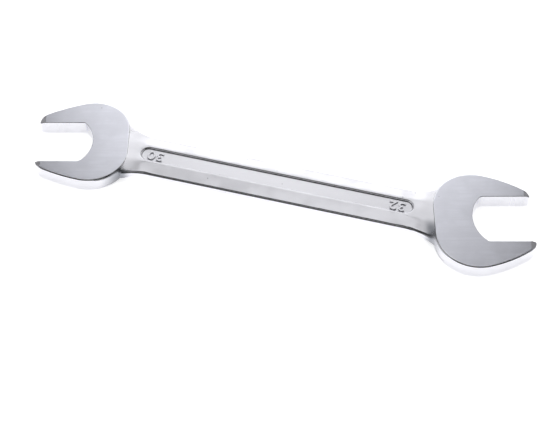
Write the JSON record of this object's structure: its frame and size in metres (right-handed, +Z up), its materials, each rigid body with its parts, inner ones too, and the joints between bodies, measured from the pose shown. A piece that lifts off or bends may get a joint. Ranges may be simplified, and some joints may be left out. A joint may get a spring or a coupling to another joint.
{
  "type": "open end wrench",
  "caption": "Flat double-ended wrench with an angled open jaw at each end of a bevelled shank, which has a long shallow recess on both sides.",
  "frame": {"origin": "centre of the footprint on the lower ground faces, halfway between the outermost jaw tips", "axes": "+X along the shank towards the 32 mm jaw, +Y across the shank in the plane of the heads, +Z up through the thickness"},
  "size_m": [0.303, 0.0675, 0.0094],
  "materials": {
    "satin_chrome": "satin"
  },
  "bodies": {
    "root": {"forged_body": "satin_chrome"}
  },
  "joints": []
}
